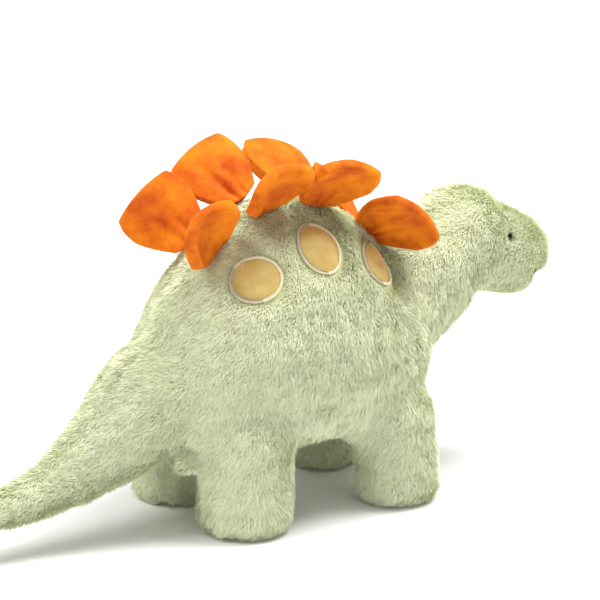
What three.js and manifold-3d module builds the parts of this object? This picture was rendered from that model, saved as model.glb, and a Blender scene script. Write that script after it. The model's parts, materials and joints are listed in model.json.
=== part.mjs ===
// A stuffed stegosaurus: sage faux fur over fibre filling, eight padded velvet back plates,
// six velour spots and four short legs that stand flat on their soles.
// Millimetres. +X points to the head, +Y to the toy's left, +Z up. The origin lies on the
// floor, under the middle of the toy's overall length.
// Covers are the woven backing of the fur. The pile stands proud of them and isn't modelled.
import * as THREE from "three";
import { mergeVertices } from "three/addons/utils/BufferGeometryUtils.js";
import { LoftGeometry } from "three/addons/geometries/LoftGeometry.js";
import Module from "manifold-3d";

const wasm = await Module();
wasm.setup();

// ---- Cloth and fits --------------------------------------------------------------------
const CLOTH = 2.4; // thickness of the fur's backing with its seam allowance
const VELVET = 1.2; // thickness of the plates' velvet
const GAP = 0.3; // clearance between pieces that touch
const SWING_CLEARANCE = 0.8; // clearance round a limb that swings in its socket
const BEYOND = 500; // further than any piece reaches

// ---- Trunk -----------------------------------------------------------------------------
const TRUNK_LENGTH = 202;
const TRUNK_WIDTH = 142;
const TRUNK_HEIGHT = 156;
const BELLY_CLEARANCE = 52; // floor to the underside at the hips: the belly sags below it
const TRUNK_FRONT = TRUNK_LENGTH / 2; // the chest's end along X, from the middle of the trunk
const TRUNK_REAR = -TRUNK_LENGTH / 2;
const TRUNK_SIDES = 16;
// The trunk's outline: place along its length, then underside, back and half-width, each a
// share of the length, height, height and half the width.
const TRUNK_SECTIONS = [
  [0, 0.04, 0.44, 0.36],
  [0.03, -0.01, 0.57, 0.53],
  [0.09, -0.01, 0.68, 0.67],
  [0.16, 0, 0.78, 0.8],
  [0.25, -0.02, 0.91, 0.9],
  [0.36, -0.045, 0.98, 0.97],
  [0.485, -0.055, 1, 1],
  [0.62, -0.045, 0.96, 0.98],
  [0.75, -0.02, 0.86, 0.92],
  [0.85, 0.03, 0.7, 0.8],
  [0.93, 0.1, 0.56, 0.62],
  [0.98, 0.2, 0.47, 0.36],
  [1, 0.31, 0.4, 0.08],
];
const GIRTH_LEVEL = 0.42; // height of the widest line, as a share of a section's height
const BACK_ROUNDNESS = 1.75; // exponent of a section's upper half: 2 is an ellipse
const BELLY_ROUNDNESS = 2.3; // exponent of its lower half

// ---- Cover panels ----------------------------------------------------------------------
const PLATE_ROW_SPREAD = 22; // between the two seams that hold the plates
const BACK_STRIP_REAR = 20; // from the rump's end to the strip's end
const BACK_STRIP_FRONT = 25; // from the chest's end to the strip's other end
const BELLY_PANEL_LENGTH = 150;
const BELLY_PANEL_WIDTH = 38;
const BELLY_PANEL_TOP = 100;

// ---- Legs ------------------------------------------------------------------------------
const HIP_HEIGHT = 58;
const FOOT_STEP = 2; // how far a foot stands past its hip, fore and aft
const FOOT_SPLAY = 1; // how far it stands out sideways
// Inset is the share of the trunk's length from its end to the near side of the hip, and
// spread the space from the middle of the toy to the inner side of the leg.
const HIND_LEG = { way: -1, inset: 0.09, spread: 11.5, radius: 28.5, footRadius: 29.5 };
const FRONT_LEG = { way: 1, inset: 0.078, spread: 19, radius: 25, footRadius: 26.5 };
const LEG_SWING = 15; // degrees each way
const SOLE_THICKNESS = 2;
const FOOT_EDGE = 10; // height of the foot's rounded edge
const LEG_SIDES = 12;
const FILLING_HOLE = 0.5; // radius of a limb's filling hole, as a share of the limb's radius

// ---- Tail ------------------------------------------------------------------------------
// Centre line with the radius at each point: place along X from the rump's end, and height
// over the floor. The first list runs from the rump to the bend, the second to the tip.
const TAIL_ROOT = [
  { at: [3, 89], radius: 37 },
  { at: [-21, 72], radius: 32 },
  { at: [-45, 57], radius: 24 },
  { at: [-63, 48], radius: 19.5 },
];
const TAIL_END = [
  { at: [-80, 41], radius: 15.5 },
  { at: [-104, 35], radius: 12.5 },
  { at: [-135, 32], radius: 9 },
  { at: [-161, 33], radius: 6.5 },
  { at: [-181, 37], radius: 4.2 },
];
const TAIL_SWING = 20; // side to side at the rump, degrees each way
const TAIL_END_SWING = 30; // side to side at the bend, degrees each way
const TAIL_SIDES = 10;

// ---- Neck and head ---------------------------------------------------------------------
const NECK_INSET = 23; // from the chest's end back to the middle of the neck's seat
const NECK_LEVEL = 0.44; // height of that seat, as a share of the trunk's height
// Centre lines from the neck's seat: along X and upwards, with the radius at each point.
const NECK = [
  { at: [0, 0], radius: 43 },
  { at: [23.5, 12], radius: 40 },
  { at: [47, 25.5], radius: 36 },
];
const NECK_DROP = 10; // degrees down
const NECK_LIFT = 14; // degrees up
const HEAD = [
  { at: [65, 36], radius: 34 },
  { at: [78, 29], radius: 31 },
  { at: [90, 24], radius: 28.5 },
  { at: [103, 18.5], radius: 27.5 },
];
const HEAD_TURN = 25; // degrees each way
const HEAD_SIDES = 14;

// ---- Face ------------------------------------------------------------------------------
// Places on the face are measured from the middle of the cranium: ahead, aside and up.
const EYE_PLACE = [23, 24, 0];
const EYE_DIAMETER = 6.5;
const EYE_DOME = 0.75; // height of the bead as a share of its half diameter
const EYE_STEM = 2.4;
const WASHER_DIAMETER = 12;
const WASHER_THICKNESS = 1.6;
const WASHER_DEPTH = 7.4; // from the skin to the washer's inner face
const STEM_END = 1; // how far the eye's stem comes out of the washer
const NOSTRIL_PLACE = [57, 11.5, -1];
const NOSTRIL_SIZE = [5, 2.6, 1.2];
const MOUTH_THREAD = 1.8;
const MOUTH_LEVEL = -39; // height of the mouth line at the front
const MOUTH_RISE = 12; // how far its corners rise
const MOUTH_SPAN = 68; // degrees each way round the muzzle
const MOUTH_POINTS = 13; // points along the mouth's curve

// ---- Back plates -----------------------------------------------------------------------
const PLATE_WIDTH = 50;
const PLATE_HEIGHT = 53;
const PLATE_THICKNESS = 9.5;
const PLATE_LEAN = 50; // degrees outwards from upright on the back
const PLATE_LIFT = 30; // degrees that a plate folds up
const PLATE_DROOP = 15; // degrees that it folds down
const PLATE_COUNT = 4; // in each row
const PLATE_PITCH = 0.8; // from one plate to the next, in plate widths
const PLATE_OVER_NECK = 0.24; // how far the front plate's seat clears the neck, in plate widths
const PLATE_STAND = 3; // height of the fold line over the fabric
const SEAM_STEP = 12; // distance each way over which a seam's slope is taken
const PLACE_STEP = 0.5; // step by which the front plate's place is found
// Outline of a plate: height, half-width and half-thickness, each a share.
const PLATE_OUTLINE = [
  [0, 0.56, 0.5],
  [0.22, 0.8, 0.85],
  [0.5, 1, 1],
  [0.72, 0.93, 0.9],
  [0.9, 0.6, 0.62],
  [1, 0.2, 0.25],
];
const PLATE_SIDES = 8;
const LEAST_HALF_THICKNESS = 0.4; // keeps the tip of the wadding from closing up

// ---- Spots -----------------------------------------------------------------------------
const SPOT_THICKNESS = 1.4;
const EDGING_THICKNESS = 2.6;
const EDGING_WIDTH = 2.4;
const SPOT_SIDES = 14;
const SPOT_STEP = 6; // distance over which the flank's slope at a spot is taken
const PUNCH_LENGTH = 60; // length of the tool that cuts a spot out of the trunk's shape
const PUNCH_DEPTH = 25; // how much of it lies inside the trunk
// Shares of the trunk's length and height where each spot sits, and its length and width.
const SPOTS = [
  { along: 0.272, level: 0.756, length: 36, width: 33 },
  { along: 0.515, level: 0.84, length: 34, width: 40 },
  { along: 0.748, level: 0.718, length: 27, width: 36 },
];

// ---- Finishes --------------------------------------------------------------------------
const finish = (color, roughness) => () =>
  new THREE.MeshStandardMaterial({ color, roughness, metalness: 0 });
const fur = finish("#b9c28d", 0.95);
const soleFur = finish("#aab37d", 0.95);
const velvet = finish("#e07818", 0.8);
const velour = finish("#c9b073", 0.75);
const satinThread = finish("#ece0b4", 0.5);
const fibre = finish("#f2f0ea", 1);
const blackPlastic = finish("#16130f", 0.15);
const clearPlastic = finish("#d9dad2", 0.4);
const darkThread = finish("#4c5136", 0.7);

// ---- Tools for closed solids -------------------------------------------------------------
const SIDES = [
  ["left", 1],
  ["right", -1],
];
const radians = THREE.MathUtils.degToRad;
const ACROSS = new THREE.Vector3(0, 1, 0);
const UPRIGHT = new THREE.Vector3(0, 0, 1);
const inPlane = ([x, z]) => new THREE.Vector3(x, 0, z);

function solidOf(geometry) {
  const bare = new THREE.BufferGeometry();
  bare.setAttribute("position", geometry.getAttribute("position"));
  bare.setIndex(geometry.getIndex());
  const merged = mergeVertices(bare, 1e-4);
  return new wasm.Manifold(
    new wasm.Mesh({
      numProp: 3,
      vertProperties: merged.attributes.position.array,
      triVerts: new Uint32Array(merged.index.array),
    }),
  );
}

// The largest single body, for cuts that leave loose slivers of cloth behind.
function largest(solid) {
  return solid.decompose().reduce((a, b) => (a.volume() > b.volume() ? a : b));
}

function meshOf(name, solid, look) {
  const { vertProperties, triVerts, numProp } = solid.getMesh();
  const points = new Float32Array((vertProperties.length / numProp) * 3);
  for (let i = 0; i < points.length / 3; i += 1) {
    points.set(vertProperties.subarray(i * numProp, i * numProp + 3), i * 3);
  }
  const geometry = new THREE.BufferGeometry();
  geometry.setAttribute("position", new THREE.BufferAttribute(points, 3));
  geometry.setIndex([...triVerts]);
  geometry.computeVertexNormals();
  const mesh = new THREE.Mesh(geometry, look());
  mesh.name = name;
  return mesh;
}

function boxSolid(low, high) {
  const size = high.map((value, i) => value - low[i]);
  const middle = high.map((value, i) => (value + low[i]) / 2);
  return solidOf(new THREE.BoxGeometry(...size).translate(...middle));
}

// A closed round bar along local +Z from zero, with an oval section if the sizes differ.
function ovalBar(radiusX, radiusY, height, sides = 20) {
  const bar = new THREE.CylinderGeometry(1, 1, height, sides);
  bar.rotateX(Math.PI / 2).translate(0, 0, height / 2).scale(radiusX, radiusY, 1);
  return bar;
}

function ball(radius) {
  return new THREE.SphereGeometry(radius, 10, 7);
}

// ---- Round soft limbs --------------------------------------------------------------------
// A ring of points about a centre. Its first direction is level and across the limb.
function ring(centre, direction, radius, sides) {
  const over = new THREE.Vector3().crossVectors(direction, ACROSS).normalize();
  const points = [];
  for (let i = 0; i < sides; i += 1) {
    const angle = (2 * Math.PI * i) / sides;
    points.push(
      centre
        .clone()
        .addScaledVector(ACROSS, radius * Math.cos(angle))
        .addScaledVector(over, radius * Math.sin(angle)),
    );
  }
  return points;
}

const CAP_STEP = 24; // degrees between the rings that round off an end
const CAP_ANGLES = [3, 2, 1].map((count) => count * CAP_STEP);

// Rings of a half ball on the end of a limb: way is -1 before its start, +1 past its end.
function capRings(centre, direction, radius, sides, way) {
  const rings = CAP_ANGLES.map((degrees) => {
    const latitude = radians(degrees);
    const middle = centre.clone().addScaledVector(direction, way * radius * Math.sin(latitude));
    return ring(middle, direction, radius * Math.cos(latitude), sides);
  });
  return way < 0 ? rings : rings.reverse();
}

// A limb with two ball ends, through stations of { centre, radius }. Grow makes it fatter.
function limb(stations, sides, grow = 0) {
  const last = stations.length - 1;
  const heading = (i) => {
    const before = stations[Math.max(i - 1, 0)].centre;
    const after = stations[Math.min(i + 1, last)].centre;
    return after.clone().sub(before).normalize();
  };
  const rings = stations.map(({ centre, radius }, i) =>
    ring(centre, heading(i), radius + grow, sides),
  );
  const start = stations[0];
  const end = stations[last];
  const sections = [
    ...capRings(start.centre, heading(0), start.radius + grow, sides, -1),
    ...rings,
    ...capRings(end.centre, heading(last), end.radius + grow, sides, 1),
  ];
  return solidOf(new LoftGeometry(sections, { capStart: true, capEnd: true }));
}

// How much closer the middle of a ball end's facets lies than its corners.
function facetShare(sides) {
  return Math.cos(Math.PI / sides) * Math.cos(radians(CAP_STEP / 2));
}

// The room that a limb needs to swing about its first station by some degrees each way: a
// round seat behind the pivot that clears the limb's own facets, and a cone that opens ahead.
function socket(stations, sides, degrees) {
  const facets = facetShare(sides);
  const flare = radians(degrees);
  const pivot = stations[0].centre;
  const direction = stations[1].centre.clone().sub(pivot).normalize();
  const seat = (stations[0].radius + SWING_CLEARANCE) / facets;
  const sections = capRings(pivot, direction, seat, sides, -1);
  for (const { centre, radius } of stations) {
    const ahead = centre.distanceTo(pivot);
    const spread = (radius + SWING_CLEARANCE) / facets / Math.cos(flare);
    sections.push(ring(centre, direction, spread + ahead * Math.tan(flare), sides));
  }
  return solidOf(new LoftGeometry(sections, { capStart: true, capEnd: true }));
}

// A limb's stations from rows measured from an origin in the toy's middle plane.
function stationsOf(rows, origin) {
  return rows.map(({ at, radius }) => ({ centre: inPlane(at).add(origin), radius }));
}

// A hole through the cover at a limb's start, where the filling goes in.
function fillingHole(stations) {
  const [start, next] = stations;
  const outwards = start.centre.clone().sub(next.centre).normalize();
  const turn = new THREE.Quaternion().setFromUnitVectors(UPRIGHT, outwards);
  const radius = start.radius * FILLING_HOLE;
  const bar = ovalBar(radius, radius, start.radius * 2, LEG_SIDES);
  bar.applyQuaternion(turn).translate(...start.centre);
  return solidOf(bar);
}

// ---- Trunk -------------------------------------------------------------------------------
// One point round a section: a flatter curve under the girth line and a steeper one over it.
function sectionPoint(x, low, high, halfWidth, angle) {
  const girth = THREE.MathUtils.lerp(low, high, GIRTH_LEVEL);
  const upper = Math.sin(angle) >= 0;
  const roundness = upper ? BACK_ROUNDNESS : BELLY_ROUNDNESS;
  const reach = upper ? high - girth : low - girth;
  const y = halfWidth * Math.sign(Math.cos(angle)) * Math.abs(Math.cos(angle)) ** (2 / roundness);
  const z = girth + reach * Math.abs(Math.sin(angle)) ** (2 / roundness);
  return new THREE.Vector3(x, y, z);
}

// Underside, back and half-width of the trunk at a place along its length, grown outwards.
function trunkRow([share, low, high, width], grow) {
  const stretch = (TRUNK_LENGTH + 2 * grow) / TRUNK_LENGTH;
  return {
    x: (share - 0.5) * TRUNK_LENGTH * stretch,
    low: BELLY_CLEARANCE + low * TRUNK_HEIGHT - grow,
    high: BELLY_CLEARANCE + high * TRUNK_HEIGHT + grow,
    halfWidth: (width * TRUNK_WIDTH) / 2 + grow,
  };
}

function trunkSolid(grow) {
  const sections = TRUNK_SECTIONS.map((row) => {
    const { x, low, high, halfWidth } = trunkRow(row, grow);
    const points = [];
    for (let i = 0; i < TRUNK_SIDES; i += 1) {
      const angle = (2 * Math.PI * (i + 0.5)) / TRUNK_SIDES;
      points.push(sectionPoint(x, low, high, halfWidth, angle));
    }
    return points;
  });
  return solidOf(new LoftGeometry(sections, { capStart: true, capEnd: true }));
}

// The trunk's outline at any x, between its two nearest rows.
function trunkAt(x) {
  const rows = TRUNK_SECTIONS.map((row) => trunkRow(row, 0));
  const next = Math.max(1, rows.findIndex((row) => row.x >= x));
  const [a, b] = [rows[next - 1], rows[next]];
  const share = (x - a.x) / (b.x - a.x);
  const mix = (key) => THREE.MathUtils.lerp(a[key], b[key], share);
  return { low: mix("low"), high: mix("high"), halfWidth: mix("halfWidth") };
}

// Height of the back at x, a little to one side of the middle.
function backHeight(x, y) {
  const { low, high, halfWidth } = trunkAt(x);
  const girth = THREE.MathUtils.lerp(low, high, GIRTH_LEVEL);
  const share = 1 - Math.abs(y / halfWidth) ** BACK_ROUNDNESS;
  return girth + (high - girth) * share ** (1 / BACK_ROUNDNESS);
}

// Half-width of the upper trunk at x and a height over the girth line.
function flankReach(x, z) {
  const { low, high, halfWidth } = trunkAt(x);
  const girth = THREE.MathUtils.lerp(low, high, GIRTH_LEVEL);
  const share = 1 - ((z - girth) / (high - girth)) ** BACK_ROUNDNESS;
  return halfWidth * share ** (1 / BACK_ROUNDNESS);
}

// ---- Limbs and how they swing --------------------------------------------------------------
function legStations({ way, inset, spread, radius, footRadius }, side) {
  const x = way * (TRUNK_LENGTH / 2 - inset * TRUNK_LENGTH - radius);
  const y = spread + radius;
  const hipCentre = new THREE.Vector3(x, side * y, HIP_HEIGHT);
  const footCentre = new THREE.Vector3(x + way * FOOT_STEP, side * (y + FOOT_SPLAY), 0);
  return { hipCentre, footCentre, radius, footRadius };
}

// A leg: a ball at the hip, then level rings down to a flat foot with a rounded edge.
function legSolid(leg, grow, drop) {
  const { hipCentre, footCentre, radius, footRadius } = leg;
  const down = UPRIGHT.clone().negate();
  const sections = capRings(hipCentre, down, radius + grow, LEG_SIDES, -1);
  const levels = [
    [0, radius],
    [0.5, (radius + footRadius) / 2],
    [1 - FOOT_EDGE / HIP_HEIGHT, footRadius],
    [1, footRadius - FOOT_EDGE / 2],
  ];
  for (const [share, size] of levels) {
    const centre = hipCentre.clone().lerp(footCentre, share);
    sections.push(ring(centre, down, size + grow, LEG_SIDES));
  }
  if (drop > 0) {
    const below = footCentre.clone().addScaledVector(down, drop);
    sections.push(ring(below, down, footRadius - FOOT_EDGE / 2 + grow, LEG_SIDES));
  }
  return solidOf(new LoftGeometry(sections, { capStart: true, capEnd: true }));
}

function hipAndFoot({ hipCentre, footCentre, radius, footRadius }) {
  return [
    { centre: hipCentre, radius },
    { centre: footCentre, radius: footRadius },
  ];
}

const rump = inPlane([TRUNK_REAR, 0]);
const neckSeat = inPlane([TRUNK_FRONT - NECK_INSET, BELLY_CLEARANCE + NECK_LEVEL * TRUNK_HEIGHT]);
const tailRoot = stationsOf(TAIL_ROOT, rump);
const tailEnd = stationsOf(TAIL_END, rump);
const neck = stationsOf(NECK, neckSeat);
const head = stationsOf(HEAD, neckSeat);
const legs = [];
for (const [side, sign] of SIDES) {
  legs.push({ name: `front_${side}`, ...legStations(FRONT_LEG, sign) });
  legs.push({ name: `hind_${side}`, ...legStations(HIND_LEG, sign) });
}

// ---- Pieces of the trunk -------------------------------------------------------------------
function trunkSockets() {
  const room = [
    socket(tailRoot, TAIL_SIDES, TAIL_SWING),
    socket(neck, HEAD_SIDES, Math.max(NECK_DROP, NECK_LIFT)),
  ];
  for (const leg of legs) {
    room.push(socket(hipAndFoot(leg), LEG_SIDES, LEG_SWING));
  }
  return room.reduce((all, next) => all.add(next));
}

// The cutter that parts the back strip from the flanks, and the one for the belly panel.
function stripCutter(grow) {
  const reach = PLATE_ROW_SPREAD / 2 + grow;
  const girth = BELLY_CLEARANCE + TRUNK_HEIGHT * GIRTH_LEVEL;
  return boxSolid(
    [TRUNK_REAR + BACK_STRIP_REAR - grow, -reach, girth],
    [TRUNK_FRONT - BACK_STRIP_FRONT + grow, reach, BEYOND],
  );
}

function bellyCutter(grow) {
  const bar = ovalBar(BELLY_PANEL_LENGTH / 2 + grow, BELLY_PANEL_WIDTH / 2 + grow, BELLY_PANEL_TOP);
  return solidOf(bar);
}

function trunkPieces() {
  const sockets = trunkSockets();
  const cloth = trunkSolid(0).subtract(trunkSolid(-CLOTH)).subtract(sockets);
  const flanks = cloth.subtract(stripCutter(GAP / 2)).subtract(bellyCutter(GAP / 2));
  const pieces = SIDES.map(([side, sign]) => {
    const [low, high] = sign > 0 ? [GAP / 2, BEYOND] : [-BEYOND, -GAP / 2];
    const half = boxSolid([-BEYOND, low, -BEYOND], [BEYOND, high, BEYOND]);
    return meshOf(`body_cover_${side}`, largest(flanks.intersect(half)), fur);
  });
  const strip = largest(cloth.intersect(stripCutter(-GAP / 2)));
  const belly = largest(cloth.intersect(bellyCutter(-GAP / 2)));
  const filling = largest(trunkSolid(-CLOTH - GAP).subtract(sockets));
  pieces.push(meshOf("back_strip", strip, fur));
  pieces.push(meshOf("belly_panel", belly, fur));
  pieces.push(meshOf("body_stuffing", filling, fibre));
  return pieces;
}

// ---- Pieces of the legs --------------------------------------------------------------------
function legPieces(leg) {
  const cover = legSolid(leg, 0, 0).subtract(legSolid(leg, -CLOTH, CLOTH));
  const above = SOLE_THICKNESS + GAP;
  const aboveSole = boxSolid([-BEYOND, -BEYOND, above], [BEYOND, BEYOND, BEYOND]);
  const soleBand = boxSolid([-BEYOND, -BEYOND, 0], [BEYOND, BEYOND, SOLE_THICKNESS]);
  const inner = legSolid(leg, -CLOTH - GAP, CLOTH);
  return [
    meshOf(`leg_cover_${leg.name}`, cover.subtract(fillingHole(hipAndFoot(leg))), fur),
    meshOf(`sole_${leg.name}`, inner.intersect(soleBand), soleFur),
    meshOf(`leg_stuffing_${leg.name}`, inner.intersect(aboveSole), fibre),
  ];
}

// ---- Pieces of the tail, neck and head -----------------------------------------------------
// A limb's cover, open at its start for filling, and its stuffing. Room is what is cut away
// from its far end for the next limb.
function limbPieces(name, stations, sides, room) {
  const cover = limb(stations, sides).subtract(limb(stations, sides, -CLOTH));
  const opened = cover.subtract(fillingHole(stations));
  const filling = limb(stations, sides, -CLOTH - GAP);
  const cut = (solid) => largest(room ? solid.subtract(room) : solid);
  return [
    meshOf(`${name}_cover`, cut(opened), fur),
    meshOf(`${name}_stuffing`, cut(filling), fibre),
  ];
}

function tailPieces() {
  const bend = socket(tailEnd, TAIL_SIDES, TAIL_END_SWING);
  return [
    ...limbPieces("tail_root", tailRoot, TAIL_SIDES, bend),
    ...limbPieces("tail_end", tailEnd, TAIL_SIDES, null),
  ];
}

function neckPieces() {
  return limbPieces("neck", neck, HEAD_SIDES, socket(head, HEAD_SIDES, HEAD_TURN));
}

// ---- Face --------------------------------------------------------------------------------
// The station of the head whose round skin lies nearest to a place.
function nearestStation(place) {
  return head.reduce((a, b) =>
    a.centre.distanceTo(place) - a.radius < b.centre.distanceTo(place) - b.radius ? a : b,
  );
}

// A frame on the head's skin nearest to a place: its point and its outward direction.
function onHead(place) {
  const { centre, radius } = nearestStation(place);
  const outwards = place.clone().sub(centre).normalize();
  const skin = centre.clone().addScaledVector(outwards, radius);
  return { skin, outwards };
}

function placed(geometry, { skin, outwards }, lift) {
  const turn = new THREE.Quaternion().setFromUnitVectors(UPRIGHT, outwards);
  const at = skin.clone().addScaledVector(outwards, lift);
  return geometry.applyQuaternion(turn).translate(at.x, at.y, at.z);
}

function onFace([ahead, aside, up], sign) {
  return new THREE.Vector3(ahead, sign * aside, up).add(head[0].centre);
}

function eyeStem(frame, grow) {
  const radius = EYE_STEM / 2 + grow;
  const depth = WASHER_DEPTH + STEM_END + grow;
  return solidOf(placed(ovalBar(radius, radius, depth + GAP, 8), frame, -depth));
}

function washerDisc(frame, grow) {
  const radius = WASHER_DIAMETER / 2 + grow;
  const bar = ovalBar(radius, radius, WASHER_THICKNESS + 2 * grow, 12);
  return solidOf(placed(bar, frame, -WASHER_DEPTH - grow));
}

function headPieces() {
  const cover = limb(head, HEAD_SIDES).subtract(limb(head, HEAD_SIDES, -CLOTH));
  let cloth = cover.subtract(fillingHole(head));
  let filling = limb(head, HEAD_SIDES, -CLOTH - GAP);
  const pieces = [];
  for (const [side, sign] of SIDES) {
    const frame = onHead(onFace(EYE_PLACE, sign));
    cloth = cloth.subtract(eyeStem(frame, GAP));
    filling = filling.subtract(eyeStem(frame, GAP)).subtract(washerDisc(frame, GAP));
    const dome = solidOf(placed(ball(EYE_DIAMETER / 2).scale(1, 1, EYE_DOME), frame, GAP));
    const bead = dome.subtract(limb(head, HEAD_SIDES, GAP)).add(eyeStem(frame, 0));
    const washer = washerDisc(frame, 0).subtract(eyeStem(frame, GAP));
    pieces.push(meshOf(`eye_${side}`, largest(bead), blackPlastic));
    pieces.push(meshOf(`eye_washer_${side}`, washer, clearPlastic));
  }
  pieces.unshift(meshOf("head_stuffing", largest(filling), fibre));
  pieces.unshift(meshOf("head_cover", largest(cloth), fur));
  return pieces;
}

// Satin stitches stand on the cloth, so each is cut back by the head's own shape.
function nostrils() {
  const skin = limb(head, HEAD_SIDES, GAP);
  return SIDES.map(([side, sign]) => {
    const frame = onHead(onFace(NOSTRIL_PLACE, sign));
    const [length, width, height] = NOSTRIL_SIZE;
    const bead = ball(1).scale(length / 2, width / 2, height + GAP);
    const stitch = solidOf(placed(bead, frame, GAP)).subtract(skin);
    return meshOf(`nostril_${side}`, largest(stitch), darkThread);
  });
}

function mouth() {
  const muzzle = head[head.length - 1];
  const points = [];
  for (let i = 0; i < MOUTH_POINTS; i += 1) {
    const share = (2 * i) / (MOUTH_POINTS - 1) - 1;
    const angle = radians(share * MOUTH_SPAN);
    const z = head[0].centre.z + MOUTH_LEVEL + MOUTH_RISE * share * share;
    const reach = Math.sqrt(muzzle.radius ** 2 - (z - muzzle.centre.z) ** 2) + GAP * 2;
    points.push(
      new THREE.Vector3(
        muzzle.centre.x + reach * Math.cos(angle),
        reach * Math.sin(angle),
        z,
      ),
    );
  }
  const route = new THREE.CatmullRomCurve3(points);
  const section = new THREE.Shape();
  section.absarc(0, 0, MOUTH_THREAD / 2 + GAP, 0, 2 * Math.PI);
  const thread = new THREE.ExtrudeGeometry(section, {
    steps: MOUTH_POINTS + 1,
    curveSegments: 2,
    extrudePath: route,
  });
  const stitch = solidOf(thread).subtract(limb(head, HEAD_SIDES, GAP));
  return meshOf("mouth_stitch", largest(stitch), darkThread);
}

// ---- Back plates ---------------------------------------------------------------------------
// A plate stands on local Z with its width along local X. Grow makes it fatter all round.
function plateSolid(grow, foot = 0) {
  const sections = PLATE_OUTLINE.map(([height, width, thickness]) => {
    const points = [];
    const halfWidth = (width * PLATE_WIDTH) / 2 + grow;
    const halfThickness = Math.max(
      (thickness * PLATE_THICKNESS) / 2 + grow,
      LEAST_HALF_THICKNESS,
    );
    const z = height * (PLATE_HEIGHT + grow) - (height === 0 ? foot : 0);
    for (let i = 0; i < PLATE_SIDES; i += 1) {
      const angle = (2 * Math.PI * i) / PLATE_SIDES;
      points.push(
        new THREE.Vector3(halfWidth * Math.cos(angle), halfThickness * Math.sin(angle), z),
      );
    }
    return points;
  });
  return solidOf(new LoftGeometry(sections, { capStart: true, capEnd: true }));
}

// Where a plate is sewn: its place on the row's seam, the seam's run and the plate's own up.
function plateSeat(x, sign) {
  const y = (sign * PLATE_ROW_SPREAD) / 2;
  const rise = backHeight(x + SEAM_STEP, y) - backHeight(x - SEAM_STEP, y);
  const along = new THREE.Vector3(2 * SEAM_STEP, 0, rise).normalize();
  const upright = new THREE.Vector3(-along.z, 0, along.x);
  const at = new THREE.Vector3(x, y, backHeight(x, y)).addScaledVector(upright, PLATE_STAND);
  const lean = radians(PLATE_LEAN);
  const up = upright.clone().multiplyScalar(Math.cos(lean));
  up.addScaledVector(ACROSS, sign * Math.sin(lean));
  return { at, along, up };
}

// The plates' places along X. The front one sits where the back still rises over the neck.
function platePlaces() {
  const lowest = neckSeat.z + neck[0].radius + PLATE_OVER_NECK * PLATE_WIDTH;
  let front = neckSeat.x;
  while (backHeight(front, PLATE_ROW_SPREAD / 2) < lowest && front > 0) {
    front -= PLACE_STEP;
  }
  const places = [];
  for (let i = PLATE_COUNT - 1; i >= 0; i -= 1) {
    places.push(front - i * PLATE_PITCH * PLATE_WIDTH);
  }
  return places;
}

function plates() {
  const pieces = [];
  for (const [side, sign] of SIDES) {
    platePlaces().forEach((x, i) => {
      const { at, along, up } = plateSeat(x, sign);
      const facing = new THREE.Vector3().crossVectors(up, along);
      const basis = new THREE.Matrix4().makeBasis(along, facing, up).setPosition(at);
      const cover = plateSolid(0).subtract(plateSolid(-VELVET, VELVET));
      const wadding = plateSolid(-VELVET - GAP);
      const stand = (solid) => solid.transform(basis.toArray());
      const number = i + 1;
      pieces.push(meshOf(`plate_cover_${side}_${number}`, stand(cover), velvet));
      pieces.push(meshOf(`plate_wadding_${side}_${number}`, stand(wadding), fibre));
    });
  }
  return pieces;
}

// ---- Spots ---------------------------------------------------------------------------------
function spotSeat({ along: share, level }, sign) {
  const x = TRUNK_REAR + share * TRUNK_LENGTH;
  const z = BELLY_CLEARANCE + level * TRUNK_HEIGHT;
  const onFlank = (px, pz) => new THREE.Vector3(px, sign * flankReach(px, pz), pz);
  const at = onFlank(x, z);
  const ahead = onFlank(x + SPOT_STEP, z).sub(at);
  const above = onFlank(x, z + SPOT_STEP).sub(at);
  const outwards = new THREE.Vector3().crossVectors(above, ahead).multiplyScalar(sign);
  outwards.normalize();
  const along = ahead.normalize();
  const up = new THREE.Vector3().crossVectors(outwards, along);
  return new THREE.Matrix4().makeBasis(along, up, outwards).setPosition(at);
}

// A spot lies on the fur's backing, so it is a slice of the trunk's own shape, grown.
function spots() {
  const slice = (thickness) => trunkSolid(GAP + thickness).subtract(trunkSolid(GAP));
  const disc = slice(SPOT_THICKNESS);
  const rim = slice(EDGING_THICKNESS);
  const pieces = [];
  for (const [side, sign] of SIDES) {
    SPOTS.forEach((spot, i) => {
      const seat = spotSeat(spot, sign);
      const punch = (grow) => {
        const [long, wide] = [spot.length / 2 + grow, spot.width / 2 + grow];
        const bar = ovalBar(long, wide, PUNCH_LENGTH, SPOT_SIDES);
        return solidOf(bar.translate(0, 0, -PUNCH_DEPTH).applyMatrix4(seat));
      };
      const velourDisc = disc.intersect(punch(-EDGING_WIDTH - GAP));
      const edging = rim.intersect(punch(0)).subtract(punch(-EDGING_WIDTH));
      pieces.push(meshOf(`spot_${side}_${i + 1}`, largest(velourDisc), velour));
      pieces.push(meshOf(`spot_edging_${side}_${i + 1}`, largest(edging), satinThread));
    });
  }
  return pieces;
}

// ---- The whole toy -------------------------------------------------------------------------
const toy = new THREE.Group();
toy.add(...trunkPieces());
for (const leg of legs) {
  toy.add(...legPieces(leg));
}
toy.add(...tailPieces(), ...neckPieces(), ...headPieces(), ...nostrils(), mouth());
toy.add(...plates(), ...spots());

const reach = new THREE.Box3().setFromObject(toy);
toy.position.x = -(reach.min.x + reach.max.x) / 2;

export default toy;
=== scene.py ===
import json
import math

import bmesh
import bpy
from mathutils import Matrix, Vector
from mathutils.bvhtree import BVHTree


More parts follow.
